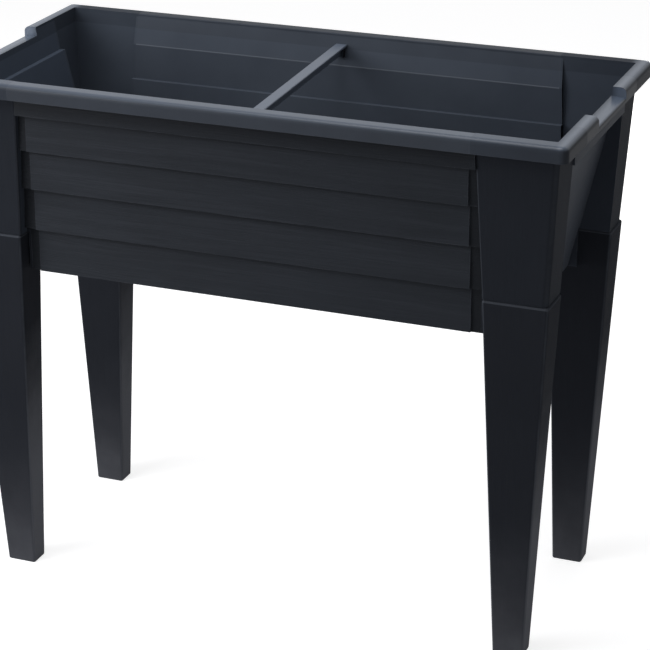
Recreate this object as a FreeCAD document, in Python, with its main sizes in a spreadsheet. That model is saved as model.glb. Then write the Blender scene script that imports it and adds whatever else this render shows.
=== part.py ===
import FreeCAD, Part
import Sketcher
import os
import re

# Raised garden bed in moulded resin: a trough of lapped boards, tied by a cross bar, on four tapered legs.
# X runs along the bed, -Y is the front, Z is up, and the origin is on the ground under the middle.

DIMENSIONS = {
    # whole bed, over the rim
    "bed_length": 960,
    "bed_width": 454,
    "bed_height": 800,
    # rim rail
    "rim_drop": 22,
    "rim_thick": 4,
    "rim_round": 8.5,
    "rim_corner": 11,
    "rim_fill": 8,
    "grip_half": 72,
    "grip_depth": 15,
    "grip_rise": 1.5,
    "grip_skirt": 7,
    "grip_round": 4,
    # walls
    "wall": 4,
    "sheet": 3,
    "board": 3,
    "board_tilt": 1.5,
    "board_half": 336,
    "side_inset": 21,
    "end_inset": 16,
    "fascia_height": 50.5,
    "board_height_one": 55.5,
    "board_height_two": 60.5,
    "board_height_three": 65,
    "board_height_four": 67,
    "side_first_step": 8,
    "side_step": 7.5,
    "end_fascia_height": 54,
    "panel_top_inset": 33,
    "panel_bottom_inset": 90,
    "ledge_width": 8,
    "lip_width": 14,
    "lip_thick": 4,
    # corner posts
    "post_top_width": 118,
    "post_seam_width": 93,
    "post_lean": 14,
    "post_back": 97,
    "post_round": 8,
    "post_ease": 3,
    "apron_gap": 2.5,
    "spigot_length": 110,
    "spigot_clearance": 0.3,
    # legs
    "seam_height": 559,
    "seam_groove": 1,
    "seam_ease": 2.5,
    "leg_proud": 2.5,
    "leg_round": 4,
    "foot_inset": 55,
    "foot_width": 47,
    "foot_depth": 34,
    "edge_ease": 1.5,
    # floor, beams and drains
    "fit_gap": 1,
    "floor_thick": 4,
    "beam_height": 20,
    "beam_width": 30,
    "beam_wall": 3,
    "beam_place": 210,
    "drain_place": 105,
    "drain_bore": 26,
    "boss_wall": 4,
    "boss_lift": 2,
    "plug_clearance": 0.3,
    "plug_flange": 42,
    "plug_flange_thick": 5,
    "plug_grip_drop": 12,
    "plug_grip_width": 28,
    "plug_grip_thick": 6,
    "seal_thick": 2,
    # cross bar and its seats
    "bar_width": 18,
    "bar_thick": 4,
    "bar_depth": 15,
    "bar_web": 5,
    "bar_gap": 1,
    "bar_lift": 0.5,
    "bar_drop": 15,
    "bar_fall": 13,
    "seat_reach": 6,
    "seat_thick": 3,
}

doc = FreeCAD.newDocument("RaisedGardenBed")
sheet = doc.addObject("Spreadsheet::Sheet", "Dimensions")
for row, (alias, value) in enumerate(DIMENSIONS.items(), start=1):
    sheet.set(f"A{row}", alias)
    sheet.set(f"B{row}", str(value))
    sheet.setAlias(f"B{row}", alias)
doc.recompute()

parts = []


def bound(text):
    # The same sum with every size name pointed at the sheet
    return re.sub(r"[a-z][a-z_]+", r"Dimensions.\g<0>", text)


def across(side, inset):
    # Y of a plane set in from the rim's outer edge at the front (-1) or rear (1)
    return f"{side} * (bed_width / 2 - ({inset}))"


def along(end, inset):
    # X of a plane set in from the rim's outer edge at the left (-1) or right (1)
    return f"{end} * (bed_length / 2 - ({inset}))"


def below(depth):
    # Z of a level measured down from the top of the rim
    return f"bed_height - ({depth})"


def new_body(label):
    body = doc.addObject("PartDesign::Body", label)
    body.Label = label
    parts.append(body)
    return body


def new_sketch(body, plane, height="0"):
    sketch = body.newObject("Sketcher::SketchObject", "outline")
    support = next(item for item in body.Origin.OriginFeatures if item.Role == plane)
    sketch.AttachmentSupport = [(support, "")]
    sketch.MapMode = "FlatFace"
    sketch.setExpression("AttachmentOffset.Base.z", bound(height))
    return sketch


def tie(sketch, kind, geometry, place, text):
    # Dimension one coordinate of a point from the sketch's origin
    value = float(sketch.evalExpression(bound(text)))
    row = sketch.addConstraint(Sketcher.Constraint(kind, -1, 1, geometry, place, value))
    sketch.setExpression(f"Constraints[{row}]", bound(text))


def outline(body, plane, loops, height="0"):
    # Closed outlines of straight lines, each corner dimensioned from the origin
    sketch = new_sketch(body, plane, height)
    for loop in loops:
        first = sketch.GeometryCount
        corners = [FreeCAD.Vector(*[float(sketch.evalExpression(bound(text))) for text in corner], 0)
                   for corner in loop]
        for corner, following in zip(corners, corners[1:] + corners[:1]):
            sketch.addGeometry(Part.LineSegment(corner, following))
        for step, (x, y) in enumerate(loop):
            line = first + step
            after = first + (step + 1) % len(loop)
            sketch.addConstraint(Sketcher.Constraint("Coincident", line, 2, after, 1))
            tie(sketch, "DistanceX", line, 1, x)
            tie(sketch, "DistanceY", line, 1, y)
    return sketch


def rectangle(x_one, x_two, y_one, y_two):
    return [(x_one, y_one), (x_two, y_one), (x_two, y_two), (x_one, y_two)]


def circles(body, diameters, height):
    # Circles about the body's own axis
    sketch = new_sketch(body, "XY_Plane", height)
    for diameter in diameters:
        radius = float(sketch.evalExpression(bound(f"({diameter}) / 2")))
        circle = sketch.addGeometry(Part.Circle(FreeCAD.Vector(), FreeCAD.Vector(0, 0, 1), radius))
        sketch.addConstraint(Sketcher.Constraint("Coincident", circle, 3, -1, 1))
        row = sketch.addConstraint(Sketcher.Constraint("Diameter", circle, 2 * radius))
        sketch.setExpression(f"Constraints[{row}]", bound(diameter))
    return sketch


def pad(body, sketch, length, symmetric=False):
    feature = body.newObject("PartDesign::Pad", "pad")
    feature.Profile = sketch
    feature.SideType = "Symmetric" if symmetric else "One side"
    feature.setExpression("Length", bound(length))
    return feature


def pocket(body, sketch, length=None):
    # A cut to both sides of the sketch, through everything unless a length is given
    feature = body.newObject("PartDesign::Pocket", "pocket")
    feature.Profile = sketch
    feature.SideType = "Symmetric"
    if length is None:
        feature.Type = "ThroughAll"
    else:
        feature.setExpression("Length", bound(length))
    return feature


def frustum(body, low, low_height, high, high_height):
    # Block with four sloping flat sides between two rectangles, each given as two X and two Y planes
    front = [(low[0], low_height), (low[1], low_height), (high[1], high_height), (high[0], high_height)]
    pad(body, outline(body, "XZ_Plane", [front]), "2 * bed_width", symmetric=True)
    flank = [(low[2], low_height), (low[3], low_height), (high[3], high_height), (high[2], high_height)]
    reach = "2 * bed_width"
    around = rectangle(f"-{reach}", reach, f"{low_height} - fit_gap", f"{high_height} + fit_gap")
    pocket(body, outline(body, "YZ_Plane", [around, flank]))


def hollow(body, height):
    # Leave a shell, open at the flat face lying at the given height
    doc.recompute()
    base = body.Tip
    level = size(height)
    names = [f"Face{count}" for count, face in enumerate(base.Shape.Faces, start=1) if runs_at(face, z=level)]
    feature = body.newObject("PartDesign::Thickness", "shell")
    feature.Base = (base, names)
    feature.Reversed = True
    feature.Join = "Intersection"
    feature.setExpression("Value", bound("wall"))


def combine(body, tool, kind):
    feature = body.newObject("PartDesign::Boolean", "combined")
    feature.addObjects([tool])
    feature.Type = kind


def ease(body, amount, chosen, kind="Fillet"):
    # Round or chamfer the edges of the body so far that the test picks out
    doc.recompute()
    base = body.Tip
    names = [f"Edge{count}" for count, edge in enumerate(base.Shape.Edges, start=1) if chosen(edge)]
    feature = body.newObject(f"PartDesign::{kind}", "easing")
    feature.Base = (base, names)
    feature.setExpression("Radius" if kind == "Fillet" else "Size", bound(amount))
    return feature


def size(text):
    return float(sheet.evalExpression(text))


def runs_at(edge, **place):
    # True where every point of the edge has the given X, Y or Z
    box = edge.BoundBox
    limits = {"x": (box.XMin, box.XMax), "y": (box.YMin, box.YMax), "z": (box.ZMin, box.ZMax)}
    return all(abs(limit - value) < 0.01 for axis, value in place.items() for limit in limits[axis])


def rises_from(edge, corners, height):
    # True for a sloping edge that ends at one of the corners at the given height
    points = [Part.Vertex(size(x), size(y), size(height)) for x, y in corners]
    return edge.BoundBox.ZLength > 1 and any(edge.distToShape(point)[0] < 0.01 for point in points)


# Levels of the boards, as depths below the rim, and how far each face is set in from the rim's edge
HEIGHTS = ["board_height_one", "board_height_two", "board_height_three", "board_height_four"]
LEVELS = [" + ".join(["fascia_height"] + HEIGHTS[:count]) for count in range(len(HEIGHTS) + 1)]
BOX_DEPTH = LEVELS[-1]
FACES = [f"side_inset + side_first_step + {count} * side_step" for count in range(len(HEIGHTS))]
BACKS = [f"{face} + board" for face in FACES]
INNERS = [f"{back} + sheet" for back in BACKS]
FASCIA_INNER = "side_inset + wall"
END_FASCIA_INNER = "end_inset + wall"

# Planes of the corner posts, as distances from the middle of the bed
POST_X_TOP = "bed_length / 2 - end_inset"
POST_X_TOP_INNER = f"{POST_X_TOP} - post_top_width"
POST_Y_TOP = "bed_width / 2 - side_inset"
POST_X_SEAM = f"{POST_X_TOP} - post_lean"
POST_X_SEAM_INNER = f"{POST_X_SEAM} - post_seam_width"
POST_Y_SEAM = f"{POST_Y_TOP} - post_lean"
POST_Y_BACK = "bed_width / 2 - post_back"
NOTCH_X = f"{POST_X_SEAM_INNER} - apron_gap - wall"
NOTCH_Y = f"{POST_Y_BACK} - apron_gap - wall"
PLATE_TOP = "seam_height + wall"
PLATE_DEPTH = f"bed_height - ({PLATE_TOP})"

# Levels of the floor, the first as a depth below the rim
LIP_DEPTH = f"{BOX_DEPTH} - lip_thick"
LIP_TOP = below(LIP_DEPTH)
FLOOR_UNDER = f"{LIP_TOP} + beam_height"
FLOOR_TOP = f"{FLOOR_UNDER} + floor_thick"


def panel_inset(depth):
    # Outer face of the sloping end panel at a depth below the rim
    return (f"panel_top_inset + (panel_bottom_inset - panel_top_inset)"
            f" * (({depth}) - end_fascia_height) / ({BOX_DEPTH} - end_fascia_height)")


# Inner faces of a long wall and of an end wall, from the rim down, as (inset, depth) corners
LINING = [(FASCIA_INNER, "rim_thick"), (INNERS[0], f"{LEVELS[0]} - sheet")]
for near, far, level in zip(INNERS, INNERS[1:], LEVELS[1:]):
    LINING += [(near, f"{level} - sheet"), (far, f"{level} - sheet")]
GRIP_FOOT = "grip_depth + grip_skirt"
LEDGE_DEPTH = "end_fascia_height - wall"
LEDGE_EDGE = f"{panel_inset(LEDGE_DEPTH)} + wall"
END_LINING = [(END_FASCIA_INNER, "rim_thick"), (f"{LEDGE_EDGE} - ledge_width", LEDGE_DEPTH),
              (LEDGE_EDGE, LEDGE_DEPTH)]

# Cross bar: depth of its top at the front and rear, and the inset where its seats end
BAR_TOPS = {-1: "bar_drop + bar_fall", 1: "bar_drop"}
BAR_SEAT = f"{INNERS[0]} + seat_reach"


def lining_inset(lining, depth):
    # Inner face of a wall behind its fascia, at a depth below the rim
    (near, top), (far, foot) = lining[:2]
    return f"{near} + ({far} - ({near})) * (({depth}) - {top}) / ({foot} - {top})"


def rail_section(rim_inset):
    # Rim rail as (inset, depth) corners: top plate with a skirt at its outer edge
    return [("0", "0"), ("0", "rim_drop"), ("rim_thick", "rim_drop"), ("rim_thick", "rim_thick"),
            (rim_inset, "rim_thick"), (rim_inset, "0")]


def mirrored(end, side, x_outer, x_inner, y_outer, y_inner):
    # Planes given for the rear right corner, moved to another corner of the bed
    return [f"{end} * ({x_outer})", f"{end} * ({x_inner})", f"{side} * ({y_outer})", f"{side} * ({y_inner})"]


def long_wall(label, side):
    body = new_body(label)

    def section(corners):
        return [(across(side, inset), below(depth)) for inset, depth in corners]

    # stepped sheet with its floor lip
    outer = [("side_inset", "rim_thick")]
    for face, back, level in zip(["side_inset"] + BACKS, BACKS, LEVELS):
        outer += [(face, level), (back, level)]
    outer += [(BACKS[-1], BOX_DEPTH)]
    lip_edge = f"{INNERS[-1]} + lip_width"
    inner = [(lip_edge, BOX_DEPTH), (lip_edge, LIP_DEPTH), (INNERS[-1], LIP_DEPTH)] + LINING[::-1]
    pad(body, outline(body, "YZ_Plane", [section(outer + inner)]), "bed_length", symmetric=True)

    # ends that lean with the posts, notched to pass inside the legs
    foot = below(f"{BOX_DEPTH} + fit_gap")
    far = "bed_length / 2 + fit_gap"
    leaning = [(POST_X_TOP_INNER, "bed_height"), (POST_X_TOP_INNER, below("rim_thick")),
               (POST_X_SEAM_INNER, "seam_height"), (POST_X_SEAM_INNER, foot), (far, foot),
               (far, "bed_height")]
    notch = rectangle(NOTCH_X, far, foot, PLATE_TOP)
    for cut in (leaning, notch):
        both = [[(f"{end} * ({x})", z) for x, z in cut] for end in (-1, 1)]
        pocket(body, outline(body, "XZ_Plane", both))

    # lapped boards on the outside
    boards = [section([(f"{face} + board_tilt", top), (face, foot), (back, foot), (back, top)])
              for face, back, top, foot in zip(FACES, BACKS, LEVELS, LEVELS[1:])]
    pad(body, outline(body, "YZ_Plane", boards), "2 * board_half", symmetric=True)

    # seat for the cross bar on the inside, two cheeks on a floor
    seat_top = f"{BAR_TOPS[side]} + bar_thick + bar_gap"
    seat_floor = f"{BAR_TOPS[side]} + bar_depth + bar_lift"
    slot = "bar_web + 2 * bar_gap"
    block = rectangle(across(side, FASCIA_INNER), across(side, BAR_SEAT),
                      below(seat_top), below(f"{seat_floor} + seat_thick"))
    pad(body, outline(body, "YZ_Plane", [block]), f"{slot} + 2 * seat_thick", symmetric=True)
    gap = rectangle(across(side, INNERS[0]), across(side, f"{BAR_SEAT} + fit_gap"),
                    below("bar_drop"), below(seat_floor))
    pocket(body, outline(body, "YZ_Plane", [gap]), slot)

    # rim rail between the posts
    pad(body, outline(body, "YZ_Plane", [section(rail_section(FASCIA_INNER))]),
        f"2 * ({POST_X_TOP_INNER})", symmetric=True)
    rim_edge = size(across(side, "0"))
    ease(body, "rim_round", lambda edge: runs_at(edge, y=rim_edge, z=size("bed_height")))
    inner_edge = size(across(side, FASCIA_INNER))
    ease(body, "edge_ease", lambda edge: runs_at(edge, y=inner_edge, z=size("bed_height")))


def end_wall(label, end):
    body = new_body(label)

    def section(corners):
        return [(along(end, inset), below(depth)) for inset, depth in corners]

    # fascia, ledge and sloping panel with its floor lip
    length = f"2 * ({POST_Y_BACK})"
    lip_edge = "panel_bottom_inset + wall + lip_width"
    outer = [("end_inset", "rim_thick"), ("end_inset", "end_fascia_height"),
             ("panel_top_inset", "end_fascia_height"), ("panel_bottom_inset", BOX_DEPTH)]
    inner = [(lip_edge, BOX_DEPTH), (lip_edge, LIP_DEPTH), (f"{panel_inset(LIP_DEPTH)} + wall", LIP_DEPTH)]
    inner += END_LINING[::-1]
    pad(body, outline(body, "XZ_Plane", [section(outer + inner)]), length, symmetric=True)

    # rim rail with the hand grip let down into its middle, its top tilted outwards
    pad(body, outline(body, "XZ_Plane", [section(rail_section(END_FASCIA_INNER))]), length, symmetric=True)
    web = rectangle(along(end, "0"), along(end, END_FASCIA_INNER), below("0"), below(GRIP_FOOT))
    pad(body, outline(body, "XZ_Plane", [web]), "2 * (grip_half + rim_thick)", symmetric=True)
    dip = rectangle("-grip_half", "grip_half", below(GRIP_FOOT), "bed_height + fit_gap")
    pocket(body, outline(body, "YZ_Plane", [dip]))
    lowered = [("0", "grip_depth"), ("0", GRIP_FOOT), ("rim_thick", GRIP_FOOT),
               ("rim_thick", "grip_depth + rim_thick"), ("end_inset", "grip_depth + rim_thick - grip_rise"),
               ("end_inset", GRIP_FOOT)]
    lowered += [(lining_inset(END_LINING, depth), depth) for depth in (GRIP_FOOT, "grip_depth - grip_rise")]
    pad(body, outline(body, "XZ_Plane", [section(lowered)]), "2 * grip_half", symmetric=True)

    # lower edge that passes inside the legs
    notches = [rectangle(f"{side} * ({NOTCH_Y})", f"{side} * ({POST_Y_BACK} + fit_gap)",
                         below(f"{BOX_DEPTH} + fit_gap"), PLATE_TOP) for side in (-1, 1)]
    pocket(body, outline(body, "YZ_Plane", notches))

    rim_edge = size(along(end, "0"))
    for amount, depth in (("rim_round", "0"), ("grip_round", "grip_depth")):
        top = size(below(depth))
        ease(body, amount, lambda edge: runs_at(edge, x=rim_edge, z=top))


def corner_post(label, end, side):
    body = new_body(label)

    def plan(*planes):
        return mirrored(end, side, *planes)

    # shell with rounded edges, closed at the seam and chamfered above it
    post_top = below("rim_thick")
    frustum(body, plan(POST_X_SEAM, POST_X_SEAM_INNER, POST_Y_SEAM, POST_Y_BACK), "seam_height",
            plan(POST_X_TOP, POST_X_TOP_INNER, POST_Y_TOP, POST_Y_BACK), post_top)
    hollow(body, post_top)
    for amount, x in (("post_round", POST_X_TOP), ("post_ease", POST_X_TOP_INNER)):
        corner = [(f"{end} * ({x})", f"{side} * ({POST_Y_TOP})")]
        ease(body, amount, lambda edge: rises_from(edge, corner, post_top))
    ease(body, "seam_groove", lambda edge: runs_at(edge, z=size("seam_height")), "Chamfer")

    # opening to the bed's inside, flush with the linings of the two walls that end here
    past = "post_back + wall"
    flank = [(FASCIA_INNER, "0")] + LINING + [(INNERS[-1], PLATE_DEPTH), (past, PLATE_DEPTH), (past, "0")]
    flank = [(across(side, inset), below(depth)) for inset, depth in flank]
    reach = f"{POST_X_SEAM_INNER} + wall - ({POST_X_TOP_INNER}) + 2 * fit_gap"
    middle = f"{end} * ({POST_X_TOP_INNER} + {POST_X_SEAM_INNER} + wall) / 2"
    pocket(body, outline(body, "YZ_Plane", [flank], middle), reach)
    past = "end_inset + post_top_width + wall"
    face = [(END_FASCIA_INNER, "0")] + END_LINING + [(f"{panel_inset(PLATE_DEPTH)} + wall", PLATE_DEPTH),
                                                     (past, PLATE_DEPTH), (past, "0")]
    face = [(along(end, inset), below(depth)) for inset, depth in face]
    middle = f"{-side} * ({POST_Y_BACK} + wall / 2)"
    pocket(body, outline(body, "XZ_Plane", [face], middle), "wall + 2 * fit_gap")

    # floor of the pocket past the shell, with an apron down to the bed's floor inside the leg
    apron_x = f"bed_length / 2 - ({panel_inset('bed_height - seam_height')})"
    apron_y = f"bed_width / 2 - ({BACKS[-1]})"
    inside_x, inside_y = f"{POST_X_SEAM_INNER} + wall", f"{POST_Y_BACK} + wall"
    plate = [(NOTCH_X, NOTCH_Y), (apron_x, NOTCH_Y), (apron_x, inside_y), (inside_x, inside_y),
             (inside_x, apron_y), (NOTCH_X, apron_y)]
    apron = [(NOTCH_X, NOTCH_Y), (apron_x, NOTCH_Y), (apron_x, f"{NOTCH_Y} + wall"),
             (f"{NOTCH_X} + wall", f"{NOTCH_Y} + wall"), (f"{NOTCH_X} + wall", apron_y), (NOTCH_X, apron_y)]
    for ring, foot in ((plate, "seam_height"), (apron, below(BOX_DEPTH))):
        ring = [(f"{end} * ({x})", f"{side} * ({y})") for x, y in ring]
        pad(body, outline(body, "XY_Plane", [ring], foot), f"{PLATE_TOP} - ({foot})")

    # hollow spigot that fills the top of the leg
    spigot = doc.addObject("PartDesign::Body", f"{label}_spigot")
    foot = "seam_height - spigot_length"
    frustum(spigot, plan(*leg_plan("spigot_length / seam_height", "wall + spigot_clearance")), foot,
            plan(*leg_plan("0", "wall + spigot_clearance")), "seam_height")
    hollow(spigot, foot)
    combine(body, spigot, "Fuse")

    # corner of the rim rail, filled across its inner corner
    def corner_ring(x_inset, y_inset, fill):
        x_inner, y_inner = f"bed_length / 2 - ({x_inset})", f"bed_width / 2 - ({y_inset})"
        ring = [(POST_X_TOP_INNER, "bed_width / 2"), ("bed_length / 2", "bed_width / 2"),
                ("bed_length / 2", POST_Y_BACK), (x_inner, POST_Y_BACK), (x_inner, f"{y_inner} - {fill}"),
                (f"{x_inner} - {fill}", y_inner), (POST_X_TOP_INNER, y_inner)]
        return [(f"{end} * ({x})", f"{side} * ({y})") for x, y in ring]

    plate = corner_ring(END_FASCIA_INNER, FASCIA_INNER, "edge_ease")
    pad(body, outline(body, "XY_Plane", [plate], post_top), "rim_thick")
    skirt = corner_ring("rim_thick", "rim_thick", "rim_fill")
    pad(body, outline(body, "XY_Plane", [skirt], below("rim_drop")), "rim_drop")
    rim_x = size(along(end, "0"))
    rim_y = size(across(side, "0"))
    ease(body, "rim_corner", lambda edge: runs_at(edge, x=rim_x, y=rim_y))
    ease(body, "rim_round", lambda edge: runs_at(edge, z=size("bed_height")) and (
        runs_at(edge, x=rim_x) or runs_at(edge, y=rim_y) or edge.Curve.TypeId == "Part::GeomCircle"))


def leg_plan(fall, by="0"):
    # Faces of a leg, or of a block a given way inside it, some share of the way from the seam to the ground
    top = (f"{POST_X_SEAM} + leg_proud - ({by})", f"{POST_X_SEAM_INNER} + {by}",
           f"{POST_Y_SEAM} + leg_proud - ({by})", f"{POST_Y_BACK} + {by}")
    foot = (f"bed_length / 2 - foot_inset - ({by})", f"bed_length / 2 - foot_inset - foot_width + {by}",
            f"bed_width / 2 - foot_inset - ({by})", f"bed_width / 2 - foot_inset - foot_depth + {by}")
    return [f"({high}) + (({low}) - ({high})) * {fall}" for high, low in zip(top, foot)]


def leg(label, end, side):
    body = new_body(label)

    top = mirrored(end, side, *leg_plan("0"))
    frustum(body, mirrored(end, side, *leg_plan("1")), "0", top, "seam_height")
    hollow(body, "seam_height")
    ease(body, "leg_round", lambda edge: rises_from(edge, rectangle(*top), "seam_height"))
    seam = size("seam_height")
    planes = [{axis: size(plane)} for axis, plane in zip("xxyy", top)]
    ease(body, "seam_ease", lambda edge: runs_at(edge, z=seam) and (
        edge.Curve.TypeId != "Part::GeomLine" or any(runs_at(edge, **plane) for plane in planes)))
    ease(body, "edge_ease", lambda edge: runs_at(edge, z=0), "Chamfer")


def floor_panel(label, end):
    body = new_body(label)
    x_end = f"bed_length / 2 - ({panel_inset(LIP_DEPTH)} + wall + fit_gap)"
    x_notch = f"{NOTCH_X} - fit_gap"
    y_side = f"bed_width / 2 - ({INNERS[-1]} + fit_gap)"
    y_notch = f"{NOTCH_Y} - fit_gap"

    def edge_path(by):
        half = [("fit_gap / 2", f"{y_side} - ({by})"), (f"{x_notch} - ({by})", f"{y_side} - ({by})"),
                (f"{x_notch} - ({by})", f"{y_notch} - ({by})"),
                (f"{x_end} - ({by})", f"{y_notch} - ({by})")]
        path = [(x, f"-({y})") for x, y in half] + [(x, y) for x, y in reversed(half)]
        return [(f"{end} * ({x})", y) for x, y in path]

    pad(body, outline(body, "XY_Plane", [edge_path("0")], FLOOR_UNDER), "floor_thick")
    skirt = edge_path("0") + list(reversed(edge_path("wall")))
    pad(body, outline(body, "XY_Plane", [skirt], LIP_TOP), "beam_height")

    # boss for the drain plug, hanging from the plate
    boss_foot = below(f"{BOX_DEPTH} - boss_lift")
    boss = circles(body, ["drain_bore + 2 * boss_wall"], boss_foot)
    bore = circles(body, ["drain_bore"], boss_foot)
    for sketch in (boss, bore):
        sketch.setExpression("AttachmentOffset.Base.x", bound(f"{end} * drain_place"))
    pad(body, boss, f"{FLOOR_UNDER} - ({boss_foot})")
    pocket(body, bore)


def floor_beam(label, place):
    body = new_body(label)
    half = "beam_width / 2"
    inside = f"{half} - beam_wall"
    under = f"{FLOOR_UNDER} - beam_wall"
    channel = [(f"-{half}", LIP_TOP), (f"-({inside})", LIP_TOP), (f"-({inside})", under), (inside, under),
               (inside, LIP_TOP), (half, LIP_TOP), (half, FLOOR_UNDER), (f"-{half}", FLOOR_UNDER)]
    length = f"2 * (bed_width / 2 - ({INNERS[-1]} + 2 * fit_gap + wall))"
    pad(body, outline(body, "XZ_Plane", [channel]), length, symmetric=True)
    body.setExpression("Placement.Base.x", bound(place))


def cross_bar(label):
    body = new_body(label)

    def side_view(upper, lower, ends):
        # Outline between two depths under the bar's top, level in its seats and sloping between them
        path = [(-1, ends[-1]), (-1, BAR_SEAT), (1, BAR_SEAT), (1, ends[1])]
        top, foot = [[(across(side, inset), below(f"{BAR_TOPS[side]} + {depth}")) for side, inset in path]
                     for depth in (upper, lower)]
        return top + foot[::-1]

    # flange that reaches the walls, on a web that drops between the cheeks of the seats
    flange_ends = {side: lining_inset(LINING, f"{top} + bar_thick") + " + bar_gap"
                   for side, top in BAR_TOPS.items()}
    flange = side_view("0", "bar_thick", flange_ends)
    pad(body, outline(body, "YZ_Plane", [flange]), "bar_width", symmetric=True)
    web_end = f"{INNERS[0]} + bar_gap"
    web = side_view("bar_thick", "bar_depth", {-1: web_end, 1: web_end})
    pad(body, outline(body, "YZ_Plane", [web]), "bar_web", symmetric=True)
    half_width = size("bar_width / 2")
    ease(body, "edge_ease", lambda edge: runs_at(edge, x=half_width) or runs_at(edge, x=-half_width))


def drain_plug(label, end):
    # Turned stem and flange with a finger bar under it, made about its own axis
    body = new_body(label)
    flange_top = below(f"{BOX_DEPTH} - boss_lift + seal_thick")
    stem = "drain_bore - 2 * plug_clearance"
    pad(body, circles(body, [stem], flange_top), f"{FLOOR_TOP} - ({flange_top})")
    pad(body, circles(body, ["plug_flange"], f"{flange_top} - plug_flange_thick"), "plug_flange_thick")
    half_width, half_thick = "plug_grip_width / 2", "plug_grip_thick / 2"
    bar = rectangle(f"-{half_width}", half_width, f"-{half_thick}", half_thick)
    bar_foot = f"{flange_top} - plug_flange_thick - plug_grip_drop"
    pad(body, outline(body, "XY_Plane", [bar], bar_foot), "plug_grip_drop")
    body.setExpression("Placement.Base.x", bound(f"{end} * drain_place"))


def drain_seal(label, end):
    body = new_body(label)
    seal_foot = below(f"{BOX_DEPTH} - boss_lift + seal_thick")
    ring = ["drain_bore + 2 * boss_wall", "drain_bore - 2 * plug_clearance"]
    pad(body, circles(body, ring, seal_foot), "seal_thick")
    body.setExpression("Placement.Base.x", bound(f"{end} * drain_place"))


SIDES = {"front": -1, "rear": 1}
ENDS = {"left": -1, "right": 1}
for side_name, side in SIDES.items():
    long_wall(f"{side_name}_wall", side)
for end_name, end in ENDS.items():
    end_wall(f"{end_name}_end_wall", end)
for side_name, side in SIDES.items():
    for end_name, end in ENDS.items():
        corner_post(f"{side_name}_{end_name}_post", end, side)
        leg(f"{side_name}_{end_name}_leg", end, side)
for end_name, end in ENDS.items():
    floor_panel(f"floor_{end_name}", end)
    drain_plug(f"drain_plug_{end_name}", end)
    drain_seal(f"drain_seal_{end_name}", end)
for place_name, place in {"left": "-beam_place", "centre": "0", "right": "beam_place"}.items():
    floor_beam(f"floor_beam_{place_name}", place)
cross_bar("cross_bar")
doc.recompute()

for item in doc.Objects:
    if "Invalid" in item.State or "Error" in item.State:
        raise RuntimeError(f"{item.Label} failed: {item.State}")
for item in parts:
    if item.Shape.isNull() or not item.Shape.isValid() or not item.Shape.Solids:
        raise RuntimeError(f"{item.Label} has no valid solid")

os.makedirs("parts", exist_ok=True)
for item in parts:
    item.Shape.exportStep(f"parts/{item.Label}.step")
    print(f"{item.Label}: {len(item.Shape.Solids)} solid, {item.Shape.Volume / 1000:.1f} cm3")
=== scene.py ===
import math

import bmesh
import bpy
from mathutils import Euler, Matrix, Vector

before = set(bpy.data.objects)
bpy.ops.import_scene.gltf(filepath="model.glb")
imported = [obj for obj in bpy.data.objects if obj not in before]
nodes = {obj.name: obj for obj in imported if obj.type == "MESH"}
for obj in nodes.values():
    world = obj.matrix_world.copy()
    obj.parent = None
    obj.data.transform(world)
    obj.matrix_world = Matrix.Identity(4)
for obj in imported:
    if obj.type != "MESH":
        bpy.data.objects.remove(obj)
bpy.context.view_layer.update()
scene = bpy.context.scene
print("frame loaded:", len(nodes), "pieces")


# camera, set where the photograph was taken from
view = {
    "place": (1.23441, -2.96490, 1.71816),
    "azimuth": 21.794,      # degrees round from the front, to the right
    "elevation": 22.385,
    "roll": -0.332,
    "lens": 126.421,
    "reach": 50,            # past the far edge of the floor
}


def makeCamera():
    azimuth, elevation, roll = (math.radians(view[key]) for key in ("azimuth", "elevation", "roll"))
    back = Vector((math.sin(azimuth) * math.cos(elevation), -math.cos(azimuth) * math.cos(elevation),
                   math.sin(elevation)))
    right = Vector((math.cos(azimuth), math.sin(azimuth), 0))
    up = back.cross(right)
    sideways = math.cos(roll) * right + math.sin(roll) * up
    upward = math.cos(roll) * up - math.sin(roll) * right
    turn = Matrix((sideways, upward, back)).transposed().to_4x4()
    data = bpy.data.cameras.new("camera")
    data.lens = view["lens"]
    data.clip_end = view["reach"]
    camera = bpy.data.objects.new("camera", data)
    scene.collection.objects.link(camera)
    camera.matrix_world = Matrix.Translation(view["place"]) @ turn
    scene.camera = camera


makeCamera()
print("camera placed")


# helpers for node trees, where a value is a socket or a number
mixLow, mixHigh, mixResult = 6, 7, 2    # the colour sockets of a Mix node


def newNode(tree, kind, **settings):
    node = tree.nodes.new(kind)
    for name, value in settings.items():
        setattr(node, name, value)
    return node


def calc(tree, operation, *values):
    node = newNode(tree, "ShaderNodeMath", operation=operation)
    for socket, value in zip(node.inputs, values):
        if isinstance(value, (int, float)):
            socket.default_value = value
        else:
            tree.links.new(value, socket)
    return node.outputs[0]


def times(tree, product, *others):
    for other in others:
        product = calc(tree, "MULTIPLY", product, other)
    return product


def remap(tree, value, low, high, newLow=0.0, newHigh=1.0):
    node = newNode(tree, "ShaderNodeMapRange")
    tree.links.new(value, node.inputs["Value"])
    for name, number in (("From Min", low), ("From Max", high), ("To Min", newLow), ("To Max", newHigh)):
        node.inputs[name].default_value = number
    return node.outputs["Result"]


def noiseValue(tree, vector, scale, detail, roughness):
    node = newNode(tree, "ShaderNodeTexNoise")
    tree.links.new(vector, node.inputs["Vector"])
    node.inputs["Scale"].default_value = scale
    node.inputs["Detail"].default_value = detail
    node.inputs["Roughness"].default_value = roughness
    return node.outputs["Fac"]


def splitVector(tree, vector):
    node = newNode(tree, "ShaderNodeSeparateXYZ")
    tree.links.new(vector, node.inputs[0])
    return node.outputs


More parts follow.
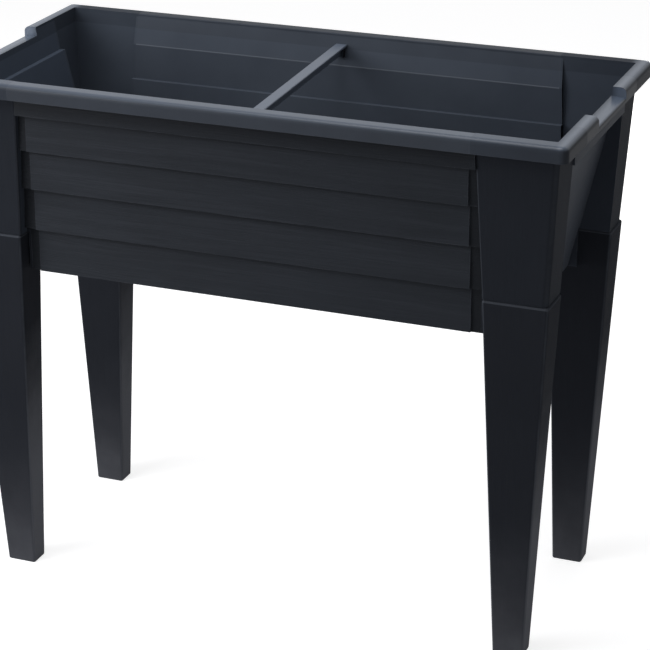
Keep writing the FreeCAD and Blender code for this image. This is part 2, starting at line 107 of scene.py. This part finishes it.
def blendColours(tree, mask, low, high):
    node = newNode(tree, "ShaderNodeMix", data_type="RGBA")
    for place, value in ((mixLow, low), (mixHigh, high)):
        if isinstance(value, tuple):
            node.inputs[place].default_value = value
        else:
            tree.links.new(value, node.inputs[place])
    tree.links.new(mask, node.inputs["Factor"])
    return node.outputs[mixResult]


# floor and studio light
studio = {
    "floorSize": 20,
    "floorColour": (0.58, 0.58, 0.59, 1),
    "floorGlow": 0.76,      # seen, not cast, so the floor reads white round a soft shadow
    "skyColour": (1, 1, 1, 1),
    "skyLight": 0.30,       # on the bed
    "skySeen": 1,           # behind the floor
    "aim": (0, 0, 0.6),     # where every lamp points
    "lamps": {              # place, power and size
        "keyLamp": ((-1.2, -1.1, 1.5), 18, 1.1),
        "topLamp": ((-0.2, -0.3, 3.0), 29, 1.4),
        "sideLamp": ((-2.1, -1.3, 0.45), 24, 1.0),
        "fillLamp": ((1.6, -2.8, 0.35), 6, 1.2),
        "backLamp": ((0.2, 2.7, 0.45), 16, 0.7),
    },
}


def seenRays(tree):
    # camera, glossy and transmission rays, as one mask
    path = newNode(tree, "ShaderNodeLightPath")
    direct = calc(tree, "MAXIMUM", path.outputs["Is Camera Ray"], path.outputs["Is Glossy Ray"])
    return calc(tree, "MAXIMUM", direct, path.outputs["Is Transmission Ray"])


def makeFloor():
    mesh = bpy.data.meshes.new("floor")
    shape = bmesh.new()
    bmesh.ops.create_grid(shape, x_segments=1, y_segments=1, size=studio["floorSize"])
    shape.to_mesh(mesh)
    shape.free()
    floor = bpy.data.objects.new("studioFloor", mesh)
    scene.collection.objects.link(floor)
    material = bpy.data.materials.new("paleFloor")
    material.use_nodes = True
    tree = material.node_tree
    tree.nodes.clear()
    paint = newNode(tree, "ShaderNodeBsdfDiffuse")
    paint.inputs["Color"].default_value = studio["floorColour"]
    glow = newNode(tree, "ShaderNodeEmission")
    both = newNode(tree, "ShaderNodeAddShader")
    out = newNode(tree, "ShaderNodeOutputMaterial")
    tree.links.new(times(tree, seenRays(tree), studio["floorGlow"]), glow.inputs["Strength"])
    tree.links.new(paint.outputs[0], both.inputs[0])
    tree.links.new(glow.outputs[0], both.inputs[1])
    tree.links.new(both.outputs[0], out.inputs["Surface"])
    mesh.materials.append(material)


def makeSky():
    world = bpy.data.worlds.new("studioSky")
    world.use_nodes = True
    scene.world = world
    tree = world.node_tree
    tree.nodes.clear()
    mix = newNode(tree, "ShaderNodeMixShader")
    for socket, strength in ((mix.inputs[1], studio["skyLight"]), (mix.inputs[2], studio["skySeen"])):
        sky = newNode(tree, "ShaderNodeBackground")
        sky.inputs["Color"].default_value = studio["skyColour"]
        sky.inputs["Strength"].default_value = strength
        tree.links.new(sky.outputs[0], socket)
    out = newNode(tree, "ShaderNodeOutputWorld")
    tree.links.new(seenRays(tree), mix.inputs["Fac"])
    tree.links.new(mix.outputs[0], out.inputs["Surface"])


def makeLamp(name, place, power, size):
    data = bpy.data.lights.new(name, "AREA")
    data.energy = power
    data.size = size
    lamp = bpy.data.objects.new(name, data)
    scene.collection.objects.link(lamp)
    aim = Vector(studio["aim"]) - Vector(place)
    lamp.matrix_world = Matrix.Translation(place) @ aim.to_track_quat("-Z", "Y").to_matrix().to_4x4()


makeFloor()
makeSky()
for name, setting in studio["lamps"].items():
    makeLamp(name, *setting)
scene.view_settings.view_transform = "Standard"
print("studio lit")


# shared effects, as node groups that each resin takes with its own values
def newGroup(name, **inputs):
    group = bpy.data.node_groups.new(name, "ShaderNodeTree")
    for label, kind in inputs.items():
        group.interface.new_socket(label, in_out="INPUT", socket_type=kind)
    return group, newNode(group, "NodeGroupInput").outputs


def putOut(group, masks):
    for label in masks:
        group.interface.new_socket(label, in_out="OUTPUT", socket_type="NodeSocketFloat")
    out = newNode(group, "NodeGroupOutput")
    for label, value in masks.items():
        group.links.new(value, out.inputs[label])
    return group


# in these dictionaries a noise is its scale, detail and roughness, and a pair is where a ramp starts and ends
grain = {
    "drift": (3.5, 1, 0.5),
    "middle": 0.5,          # the noise's own middle, so the lines drift both ways
    "wander": 0.012,        # how far they drift, in metres
    "lines": (1.0, 3, 0.55),
    "layers": (             # lines to the metre along and across a board, their ramp, and share of the height
        (9, 520, (0.34, 0.66), 0.6),
        (2.6, 95, (0.32, 0.68), 0.4),
    ),
}


def makeGrainGroup():
    # embossed timber lines that run along X of the vector given
    tree, given = newGroup("timberGrain", Vector="NodeSocketVector")
    spot = splitVector(tree, given["Vector"])
    wave = calc(tree, "SUBTRACT", noiseValue(tree, given["Vector"], *grain["drift"]), grain["middle"])
    drift = times(tree, wave, grain["wander"])
    height, streak = 0, 1
    for along, across, ramp, share in grain["layers"]:
        join = newNode(tree, "ShaderNodeCombineXYZ")
        tree.links.new(times(tree, spot["X"], along), join.inputs["X"])
        for axis in "YZ":
            moved = calc(tree, "ADD", spot[axis], drift)
            tree.links.new(times(tree, moved, across), join.inputs[axis])
        layer = remap(tree, noiseValue(tree, join.outputs[0], *grain["lines"]), *ramp)
        height = calc(tree, "ADD", height, times(tree, layer, share))
        streak = times(tree, streak, layer)
    return putOut(tree, {"Height": height, "Streak": streak})


mould = {
    "grit": (1100, 2, 0.6),
    "clouds": (6, 4, 0.6),
    "cloudRamp": (0.3, 0.7),
}


def makeSkinGroup():
    # fine mould texture and slow clouding of the colour
    tree, given = newGroup("mouldSkin", Vector="NodeSocketVector")
    grit = noiseValue(tree, given["Vector"], *mould["grit"])
    clouds = noiseValue(tree, given["Vector"], *mould["clouds"])
    return putOut(tree, {"Height": grit, "Cloud": remap(tree, clouds, *mould["cloudRamp"])})


rubbing = {
    "width": 0.002,
    "samples": 6,
    "bend": (0.985, 0.80),  # how far the rounded normal turns from the real one
    "patches": (45, 3, 0.65),
    "patchRamp": (0.35, 0.65),
}


def makeRubGroup():
    # where edges are rubbed pale, broken up by a coarse noise
    tree, given = newGroup("rubbedEdge", Vector="NodeSocketVector", Width="NodeSocketFloat")
    bevel = newNode(tree, "ShaderNodeBevel", samples=rubbing["samples"])
    tree.links.new(given["Width"], bevel.inputs["Radius"])
    facing = newNode(tree, "ShaderNodeNewGeometry")
    dot = newNode(tree, "ShaderNodeVectorMath", operation="DOT_PRODUCT")
    tree.links.new(bevel.outputs[0], dot.inputs[0])
    tree.links.new(facing.outputs["Normal"], dot.inputs[1])
    edge = remap(tree, dot.outputs["Value"], *rubbing["bend"])
    patches = noiseValue(tree, given["Vector"], *rubbing["patches"])
    return putOut(tree, {"Mask": times(tree, edge, remap(tree, patches, *rubbing["patchRamp"]))})


zones = {
    "upper": (0.45, 0.97),          # how far up a face looks, to count as a top face
    "flank": (0.3, 0.8),            # how far along the bed it looks, to count as a flank
    "lengthShare": 0.40,            # evens out the long and the short way of the bed
    "upShare": 0.2,
    "lining": (0.105, 0.166),       # faces nearer the middle than these are outside the trough
    "rim": (0.7770, 0.7780),        # above these heights the rim is moulded smooth
    "innerRim": 0.4,                # how far the rim's tone shows on its inner faces
    "endRail": (0.452, 0.468),      # the rim past these gets a painted highlight, the rear rail does not
    "frontRail": (-0.190, -0.202),
    "frontShare": 0.65,             # the front rail's painted highlight is a little weaker than the ends'
    "grip": (0.075, 0.073),         # the steps at the ends of a hand grip get the painted highlight too
    "gripStep": (0.7, 0.95),
    "splashes": (14, 4, 0.6),
    "splashRise": 0.12,             # how unevenly the dust and painted floor light climb, in metres
    "dustAndFloorLight": (0.39, 0.06),           # dust and painted light from the ground fade out up a leg
    "dustAndFloorLightCurve": 3.0,
    "paintedFlankLight": (0.47, 0.24),          # painted light from the floor, higher and paler on the flanks
    "boardEnd": (0.3360, 0.3370),   # painted shade in the gap past the boards
    "gapTop": (0.751, 0.748),
    # height of each lap's lower edge, and how far the painted shade reaches below it
    "laps": ((0.778, 0.044), (0.7495, 0.009), (0.694, 0.009), (0.6335, 0.009), (0.5685, 0.009)),
    "lapFade": (0.0002, 0.0006),    # the painted shade stops this far above the edge
    "corner": (0.2, 0.55),          # corners of posts and legs, paled in patches: rubbed wear, with a painted highlight on the rounding
    "patches": (30, 3, 0.6),
    "patchRamp": (0.25, 0.6, 0.4),
    "lip": (0.5558, 0.5566, 0.5595, 0.5599),        # heights round the lip at the top of a leg, where a highlight is painted
    "ledgeHighlight": (0.7513, 0.7519, 0.7531, 0.7537),     # and round the ledge inside the long walls, where a highlight is painted
}


def makeZoneGroup():
    # where on the bed a spot lies: rim, lining, painted highlight on the rails, dusty foot with painted floor
    # light, painted shade by and under the boards, and rubbed edges with painted highlights
    tree, given = newGroup("mouldZones", Vector="NodeSocketVector", Normal="NodeSocketVector")
    spot = splitVector(tree, given["Vector"])
    facing = splitVector(tree, given["Normal"])
    endward, sideward = (calc(tree, "ABSOLUTE", spot[axis]) for axis in "XY")
    endFacing, sideFacing = (calc(tree, "ABSOLUTE", facing[axis]) for axis in "XY")

    def heightBand(start, full, fade, end):
        return times(tree, remap(tree, spot["Z"], start, full), remap(tree, spot["Z"], end, fade))

    outX = times(tree, spot["X"], facing["X"], zones["lengthShare"])
    outY = times(tree, spot["Y"], facing["Y"])
    upward = times(tree, facing["Z"], zones["upShare"])
    inward = calc(tree, "SUBTRACT", upward, calc(tree, "ADD", outX, outY))
    lining = remap(tree, inward, *zones["lining"])

    upper = remap(tree, facing["Z"], *zones["upper"])
    outside = remap(tree, lining, 0, 1, 1, zones["innerRim"])
    rim = times(tree, remap(tree, spot["Z"], *zones["rim"]), calc(tree, "MAXIMUM", upper, outside))
    # painted highlight on the rail tops at the ends, on the front rail and on the grip steps, not on the rear
    # rail
    byEnd = remap(tree, endward, *zones["endRail"])
    byFront = remap(tree, spot["Y"], *zones["frontRail"], 0, zones["frontShare"])
    topFace = times(tree, calc(tree, "MAXIMUM", byEnd, byFront), upper)
    inGrip = times(tree, byEnd, remap(tree, sideward, *zones["grip"]))
    gripStep = times(tree, inGrip, remap(tree, sideFacing, *zones["gripStep"]))
    railHighlight = times(tree, rim, calc(tree, "MAXIMUM", topFace, gripStep))

    flank = remap(tree, endFacing, *zones["flank"])
    splash = times(tree, noiseValue(tree, given["Vector"], *zones["splashes"]), zones["splashRise"])
    reach = calc(tree, "ADD", spot["Z"], splash)
    foot = calc(tree, "POWER", remap(tree, reach, *zones["dustAndFloorLight"]), zones["dustAndFloorLightCurve"])
    paintedFlankLight = times(tree, remap(tree, reach, *zones["paintedFlankLight"]), flank)

    # painted shade in the gaps past the boards and under the rim and each lap
    gap = times(tree, remap(tree, endward, *zones["boardEnd"]), remap(tree, spot["Z"], *zones["gapTop"]))
    lap = 0
    for level, depth in zones["laps"]:
        under = heightBand(level - depth, level, *(level + fade for fade in zones["lapFade"]))
        lap = calc(tree, "MAXIMUM", lap, under)

    corner = remap(tree, calc(tree, "MINIMUM", endFacing, sideFacing), *zones["corner"])
    patches = remap(tree, noiseValue(tree, given["Vector"], *zones["patches"]), *zones["patchRamp"])
    return putOut(tree, {
        "Rim": rim, "RailHighlight": railHighlight, "Flank": flank, "Lining": lining, "Foot": foot, "PaintedFlankLight": paintedFlankLight,
        "GapShade": gap, "LapShade": lap, "Edge": times(tree, corner, patches),
        "Lip": heightBand(*zones["lip"]), "LedgeHighlight": heightBand(*zones["ledgeHighlight"]),
    })


grainGroup = makeGrainGroup()
skinGroup = makeSkinGroup()
rubGroup = makeRubGroup()
zoneGroup = makeZoneGroup()
print("effects ready")


# what all the resins share
resin = {
    # the rim's tone is a painted sheen, paler than the boards
    "rim": ((0.0240, 0.0288, 0.0380, 1), (0.0325, 0.0390, 0.0510, 1)),
    # the rim's faces that look along the bed keep a darker tone, without the painted sheen
    "flank": (0.0185, 0.0215, 0.0280, 1),
    # painted highlight on the rail tops
    "railHighlight": ((0.074, 0.094, 0.132, 1), (0.090, 0.114, 0.158, 1)),
    # rubbed wear, also used for painted highlights on the leg lips and corners
    "wearAndHighlight": (0.070, 0.078, 0.094, 1),
    # painted highlight along the ledge inside the long walls
    "ledgeHighlight": (0.110, 0.124, 0.150, 1),
    # dust, and painted light from the floor
    "dustAndFloorLight": (0.082, 0.085, 0.097, 1),
    # painted light from the floor on the legs' flanks
    "paintedFlankLight": (0.126, 0.131, 0.148, 1),
    # painted shade under the rim and the laps, and in the gaps past the boards
    "paintedShade": (0.0070, 0.0084, 0.0110, 1),
    "cloudShare": 0.4,      # of the change from dark to pale
    "streakShare": 0.6,
    "roughSpread": 0.05,
    "streakGloss": 0.08,
    "rimCoat": 0.1,
    "railHighlightCoat": 0.7,
    "coatRoughness": 0.26,
    "bumpDepth": 0.0008,
    "bumpStrength": 0.7,
}


def newMaterial(name, specular):
    material = bpy.data.materials.new(name)
    material.use_nodes = True
    tree = material.node_tree
    shader = tree.nodes["Principled BSDF"].inputs
    shader["Specular IOR Level"].default_value = specular
    return material, tree, shader


def useGroup(tree, group, vector):
    node = newNode(tree, "ShaderNodeGroup", node_tree=group)
    tree.links.new(vector, node.inputs["Vector"])
    return node


def addMarks(tree, zone, colour, marks):
    for label, tone, strength in marks:
        colour = blendColours(tree, times(tree, zone[label], strength), colour, resin[tone])
    return colour


def addTrough(tree, zone, cloud, outer, finish):
    # the paler inside of the bed, and the smooth rail round its top with its painted sheen and painted
    # highlight
    inner = addMarks(tree, zone, blendColours(tree, cloud, *finish["lining"]), finish["innerMarks"])
    sided = blendColours(tree, zone["Lining"], outer, inner)
    # the rim's painted sheen, kept off its faces that look along the bed
    skirt = blendColours(tree, zone["Flank"], blendColours(tree, cloud, *resin["rim"]), resin["flank"])
    rail = blendColours(tree, zone["RailHighlight"], skirt, blendColours(tree, cloud, *resin["railHighlight"]))
    return blendColours(tree, zone["Rim"], sided, rail)


def addCoat(tree, zone, shader):
    # the rail shines most where its highlight is painted
    plain = times(tree, zone["Rim"], resin["rimCoat"])
    more = times(tree, zone["RailHighlight"], resin["railHighlightCoat"] - resin["rimCoat"])
    tree.links.new(calc(tree, "ADD", plain, more), shader["Coat Weight"])
    shader["Coat Roughness"].default_value = resin["coatRoughness"]


def makeResin(name, finish):
    # graphite resin, its grain along the object axis that turn brings to X
    material, tree, shader = newMaterial(name, finish["specular"])
    coords = newNode(tree, "ShaderNodeTexCoord")
    place = coords.outputs["Object"]
    turned = newNode(tree, "ShaderNodeMapping")
    turned.inputs["Rotation"].default_value = Euler([math.radians(angle) for angle in finish["turn"]])
    tree.links.new(place, turned.inputs["Vector"])
    timber = useGroup(tree, grainGroup, turned.outputs[0]).outputs
    skin = useGroup(tree, skinGroup, place).outputs
    rub = useGroup(tree, rubGroup, place)
    rub.inputs["Width"].default_value = rubbing["width"]
    zoneNode = useGroup(tree, zoneGroup, place)
    tree.links.new(coords.outputs["Normal"], zoneNode.inputs["Normal"])
    zone = zoneNode.outputs
    cloud = skin["Cloud"]

    grained = finish["grain"]
    if "lining" in finish:  # no grain on the rail or inside the trough
        smooth = calc(tree, "MAXIMUM", zone["Rim"], zone["Lining"])
        grained = times(tree, calc(tree, "SUBTRACT", 1, smooth), grained)
    streak = times(tree, timber["Streak"], grained)

    clouding = times(tree, cloud, resin["cloudShare"])
    shade = calc(tree, "ADD", clouding, times(tree, streak, resin["streakShare"]))
    colour = addMarks(tree, zone, blendColours(tree, shade, *finish["colours"]), finish["marks"])
    if "lining" in finish:
        colour = addTrough(tree, zone, cloud, colour, finish)
        addCoat(tree, zone, shader)
    worn = times(tree, rub.outputs["Mask"], finish["wear"])
    tree.links.new(blendColours(tree, worn, colour, resin["wearAndHighlight"]), shader["Base Color"])

    low, high = finish["roughness"] - resin["roughSpread"], finish["roughness"] + resin["roughSpread"]
    gloss = times(tree, streak, resin["streakGloss"])
    tree.links.new(calc(tree, "SUBTRACT", remap(tree, cloud, 0, 1, low, high), gloss), shader["Roughness"])

    lines = times(tree, timber["Height"], grained)
    height = calc(tree, "ADD", lines, times(tree, skin["Height"], finish["skin"]))
    bump = newNode(tree, "ShaderNodeBump")
    bump.inputs["Distance"].default_value = resin["bumpDepth"]
    bump.inputs["Strength"].default_value = resin["bumpStrength"]
    tree.links.new(height, bump.inputs["Height"])
    tree.links.new(bump.outputs[0], shader["Normal"])
    return material


rubber = {
    "colours": ((0.010, 0.010, 0.010, 1), (0.018, 0.018, 0.017, 1)),
    "roughness": (0.72, 0.86),
    "specular": 0.25,
}


def makeRubber(name):
    material, tree, shader = newMaterial(name, rubber["specular"])
    place = newNode(tree, "ShaderNodeTexCoord").outputs["Object"]
    cloud = useGroup(tree, skinGroup, place).outputs["Cloud"]
    tree.links.new(blendColours(tree, cloud, *rubber["colours"]), shader["Base Color"])
    tree.links.new(remap(tree, cloud, 0, 1, *rubber["roughness"]), shader["Roughness"])
    return material


# a mark is a zone, its tone and its strength
alongX, alongY, alongZ = (0, 0, 0), (0, 0, -90), (0, 90, 0)
boardFinish = {
    "colours": ((0.0132, 0.0156, 0.0200, 1), (0.0236, 0.0272, 0.0344, 1)),
    "lining": ((0.048, 0.058, 0.077, 1), (0.062, 0.074, 0.096, 1)),
    "turn": alongX, "grain": 1.0, "skin": 0.10, "roughness": 0.62, "specular": 0.07, "wear": 0.5,
    "marks": (("GapShade", "paintedShade", 1.0), ("LapShade", "paintedShade", 1.0)),
    "innerMarks": (("LedgeHighlight", "ledgeHighlight", 1.0),),
}
endFinish = {
    # painted paler than the boards, outside and inside: painted light on the end panels
    "colours": ((0.0330, 0.0380, 0.0480, 1), (0.0420, 0.0480, 0.0600, 1)),
    "lining": ((0.050, 0.063, 0.088, 1), (0.062, 0.077, 0.106, 1)),
    "turn": alongY, "grain": 0.35, "skin": 0.12, "roughness": 0.62, "specular": 0.04, "wear": 0.5,
    "marks": (),
    "innerMarks": (),
}
postFinish = {
    "colours": ((0.0152, 0.0174, 0.0224, 1), (0.0206, 0.0233, 0.0296, 1)),
    "lining": boardFinish["lining"],
    "turn": alongZ, "grain": 0.30, "skin": 0.12, "roughness": 0.70, "specular": 0.015, "wear": 0.6,
    "marks": (("Edge", "wearAndHighlight", 0.3),),
    "innerMarks": (),
}
legFinish = {
    "colours": ((0.0148, 0.0165, 0.0210, 1), (0.0200, 0.0222, 0.0280, 1)),
    "turn": alongZ, "grain": 0.30, "skin": 0.12, "roughness": 0.72, "specular": 0.01, "wear": 0.6,
    "marks": (
        ("Foot", "dustAndFloorLight", 0.80),
        ("PaintedFlankLight", "paintedFlankLight", 0.85),
        ("Edge", "wearAndHighlight", 0.45),
        ("Lip", "wearAndHighlight", 0.5),
    ),
}
barFinish = {
    # painted pale: a painted highlight for the light on the bar's top
    "colours": ((0.090, 0.109, 0.146, 1), (0.108, 0.131, 0.174, 1)),
    "turn": alongY, "grain": 0.0, "skin": 0.12, "roughness": 0.42, "specular": 0.35, "wear": 0.6,
    "marks": (),
}
floorFinish = {
    "colours": ((0.0180, 0.0207, 0.0265, 1), (0.0290, 0.0330, 0.0415, 1)),
    "turn": alongX, "grain": 0.10, "skin": 0.16, "roughness": 0.60, "specular": 0.14, "wear": 0.3,
    "marks": (),
}
plugFinish = {
    "colours": ((0.0130, 0.0135, 0.0145, 1), (0.0200, 0.0205, 0.0220, 1)),
    "turn": alongX, "grain": 0.0, "skin": 0.20, "roughness": 0.50, "specular": 0.25, "wear": 0.5,
    "marks": (),
}
finishes = {                # by the first of these words that is in a piece's name
    "end_wall": makeResin("endPanelResin", endFinish),
    "wall": makeResin("boardResin", boardFinish),
    "post": makeResin("postResin", postFinish),
    "leg": makeResin("legResin", legFinish),
    "cross_bar": makeResin("barResin", barFinish),
    "floor": makeResin("floorResin", floorFinish),
    "plug": makeResin("plugResin", plugFinish),
    "seal": makeRubber("sealRubber"),
}
for name, piece in nodes.items():
    piece.data.materials.clear()
    piece.data.materials.append(next(finish for word, finish in finishes.items() if word in name))
print("finishes on", len(nodes), "pieces")
